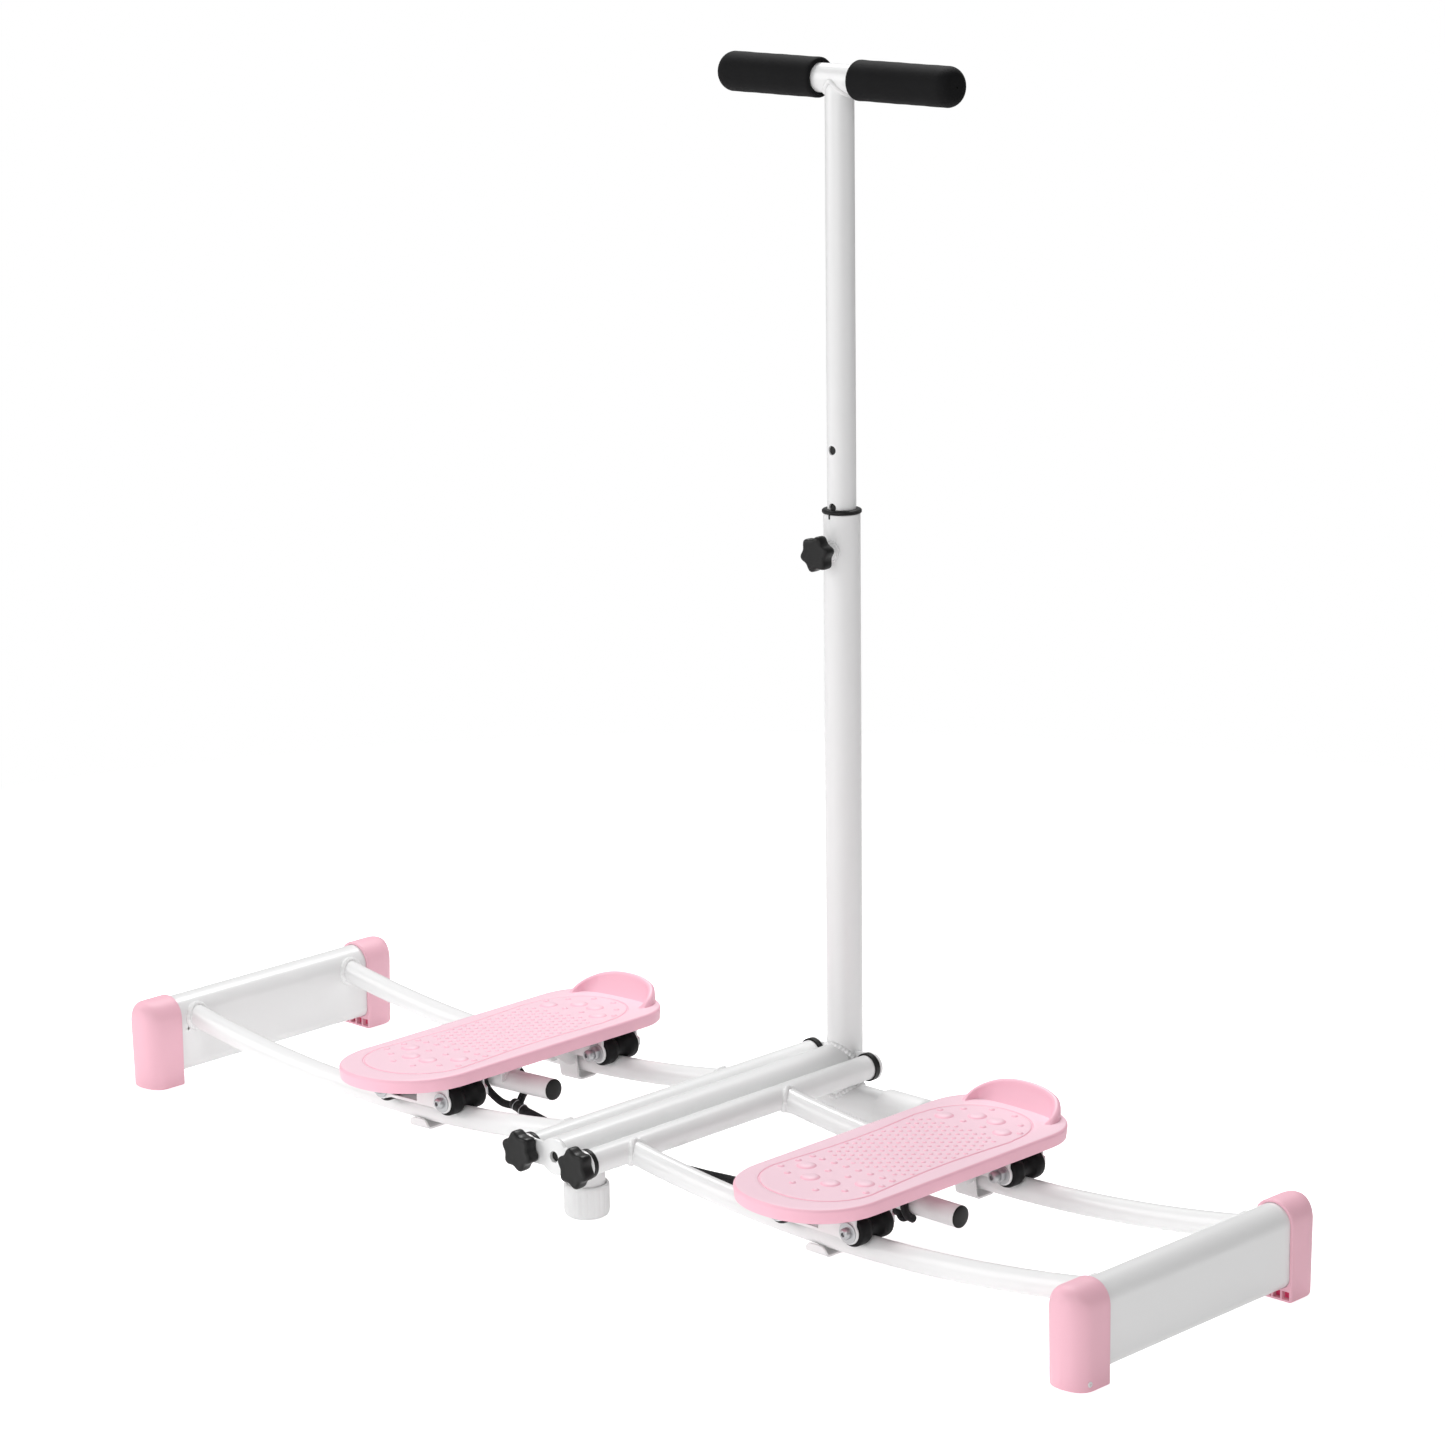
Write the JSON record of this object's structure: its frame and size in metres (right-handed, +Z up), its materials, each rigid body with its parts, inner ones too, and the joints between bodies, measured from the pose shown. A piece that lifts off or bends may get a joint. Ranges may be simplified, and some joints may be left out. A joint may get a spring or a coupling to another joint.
{
  "type": "lateral glide leg trainer",
  "caption": "Folding side-to-side leg trainer: two roller pedals glide on curved rails, held by an elastic cord, with a telescopic T-handle post.",
  "frame": {"origin": "on the floor under the middle of the machine's bounding box", "axes": "+X along the glide direction to the user's right, +Y towards the handle post, +Z up"},
  "size_m": [1.122, 0.396, 0.9373],
  "materials": {
    "white_paint": "gloss",
    "pink_plastic": "satin",
    "black_plastic": "satin",
    "black_foam": "matte",
    "white_rubber": "matte",
    "zinc_steel": "satin",
    "black_cord": "matte"
  },
  "bodies": {
    "frame": {"center_beam": "white_paint", "front_plate": "white_paint", "foot_cap": "white_rubber", "post_lower": "white_paint", "post_collar": "black_plastic", "stabilizer_tube": "white_paint", "stabilizer_cap_left": "white_rubber", "stabilizer_cap_right": "white_rubber", "cord_run": "black_cord"},
    "handle": {"post_upper": "white_paint", "handle_bar": "white_paint", "grip_left": "black_foam", "grip_right": "black_foam"},
    "knob_height": {"knob_height": "black_plastic"},
    "side_left": {"hinge_tube_left": "white_paint", "bushing_front_left": "black_plastic", "bushing_rear_left": "black_plastic", "rail_front_left": "white_paint", "rail_rear_left": "white_paint", "end_beam_left": "white_paint", "end_cap_front_left": "pink_plastic", "end_cap_rear_left": "pink_plastic"},
    "knob_left": {"knob_left": "black_plastic"},
    "carriage_left": {"chassis_left": "white_paint", "pedal_left": "pink_plastic", "plug_outer_left": "black_plastic", "plug_inner_left": "black_plastic", "cord_loop_left": "black_cord", "axle_front_a_left": "zinc_steel", "axle_front_b_left": "zinc_steel", "axle_rear_a_left": "zinc_steel", "axle_rear_b_left": "zinc_steel"},
    "roller_front_a_left": {"roller_front_a_left": "black_plastic"},
    "roller_front_b_left": {"roller_front_b_left": "black_plastic"},
    "roller_rear_a_left": {"roller_rear_a_left": "black_plastic"},
    "roller_rear_b_left": {"roller_rear_b_left": "black_plastic"},
    "side_right": {"hinge_tube_right": "white_paint", "bushing_front_right": "black_plastic", "bushing_rear_right": "black_plastic", "rail_front_right": "white_paint", "rail_rear_right": "white_paint", "end_beam_right": "white_paint", "end_cap_front_right": "pink_plastic", "end_cap_rear_right": "pink_plastic"},
    "knob_right": {"knob_right": "black_plastic"},
    "carriage_right": {"chassis_right": "white_paint", "pedal_right": "pink_plastic", "plug_outer_right": "black_plastic", "plug_inner_right": "black_plastic", "cord_loop_right": "black_cord", "axle_front_a_right": "zinc_steel", "axle_front_b_right": "zinc_steel", "axle_rear_a_right": "zinc_steel", "axle_rear_b_right": "zinc_steel"},
    "roller_front_a_right": {"roller_front_a_right": "black_plastic"},
    "roller_front_b_right": {"roller_front_b_right": "black_plastic"},
    "roller_rear_a_right": {"roller_rear_a_right": "black_plastic"},
    "roller_rear_b_right": {"roller_rear_b_right": "black_plastic"}
  },
  "joints": [
    {"name": "handle_height", "type": "slide", "parent": "frame", "child": "handle", "axis": [0, 0, 1], "range_m": [-0.084, 0.05]},
    {"name": "height_knob_turn", "type": "hinge", "parent": "frame", "child": "knob_height", "pos_m": [0, 0.148, 0.5185], "axis": [0, 1, 0], "continuous": true},
    {"name": "fold_left", "type": "hinge", "parent": "frame", "child": "side_left", "pos_m": [-0.033, -0.002, 0.06], "axis": [0, 1, 0], "range_deg": [0, 60]},
    {"name": "pivot_knob_turn_left", "type": "hinge", "parent": "frame", "child": "knob_left", "pos_m": [-0.033, -0.187, 0.06], "axis": [0, 1, 0], "continuous": true},
    {"name": "glide_left", "type": "hinge", "parent": "side_left", "child": "carriage_left", "pos_m": [-0.276, -0.032, 1.5142], "axis": [0, 1, 0], "range_deg": [-2.6, 9.1]},
    {"name": "roller_front_a_left_spin", "type": "hinge", "parent": "carriage_left", "child": "roller_front_a_left", "pos_m": [-0.24833, -0.1255, 0.05804], "axis": [0, 1, 0], "continuous": true},
    {"name": "roller_front_b_left_spin", "type": "hinge", "parent": "carriage_left", "child": "roller_front_b_left", "pos_m": [-0.17041, -0.1255, 0.06161], "axis": [0, 1, 0], "continuous": true},
    {"name": "roller_rear_a_left_spin", "type": "hinge", "parent": "carriage_left", "child": "roller_rear_a_left", "pos_m": [-0.24833, 0.0615, 0.05804], "axis": [0, 1, 0], "continuous": true},
    {"name": "roller_rear_b_left_spin", "type": "hinge", "parent": "carriage_left", "child": "roller_rear_b_left", "pos_m": [-0.17041, 0.0615, 0.06161], "axis": [0, 1, 0], "continuous": true},
    {"name": "fold_right", "type": "hinge", "parent": "frame", "child": "side_right", "pos_m": [0.033, -0.002, 0.06], "axis": [0, -1, 0], "range_deg": [0, 60]},
    {"name": "pivot_knob_turn_right", "type": "hinge", "parent": "frame", "child": "knob_right", "pos_m": [0.033, -0.187, 0.06], "axis": [0, 1, 0], "continuous": true},
    {"name": "glide_right", "type": "hinge", "parent": "side_right", "child": "carriage_right", "pos_m": [0.276, -0.032, 1.5142], "axis": [0, -1, 0], "range_deg": [-4.6, 7.1]},
    {"name": "roller_front_a_right_spin", "type": "hinge", "parent": "carriage_right", "child": "roller_front_a_right", "pos_m": [0.2217, -0.1255, 0.05879], "axis": [0, -1, 0], "continuous": true},
    {"name": "roller_front_b_right_spin", "type": "hinge", "parent": "carriage_right", "child": "roller_front_b_right", "pos_m": [0.29969, -0.1255, 0.05797], "axis": [0, -1, 0], "continuous": true},
    {"name": "roller_rear_a_right_spin", "type": "hinge", "parent": "carriage_right", "child": "roller_rear_a_right", "pos_m": [0.2217, 0.0615, 0.05879], "axis": [0, -1, 0], "continuous": true},
    {"name": "roller_rear_b_right_spin", "type": "hinge", "parent": "carriage_right", "child": "roller_rear_b_right", "pos_m": [0.29969, 0.0615, 0.05797], "axis": [0, -1, 0], "continuous": true}
  ],
  "couplings": [
    {"joint": "roller_front_a_left_spin", "follows": "glide_left", "ratio": -183.1},
    {"joint": "roller_front_b_left_spin", "follows": "glide_left", "ratio": -183.1},
    {"joint": "roller_rear_a_left_spin", "follows": "glide_left", "ratio": -183.1},
    {"joint": "roller_rear_b_left_spin", "follows": "glide_left", "ratio": -183.1},
    {"joint": "roller_front_a_right_spin", "follows": "glide_right", "ratio": -183.1},
    {"joint": "roller_front_b_right_spin", "follows": "glide_right", "ratio": -183.1},
    {"joint": "roller_rear_a_right_spin", "follows": "glide_right", "ratio": -183.1},
    {"joint": "roller_rear_b_right_spin", "follows": "glide_right", "ratio": -183.1}
  ]
}
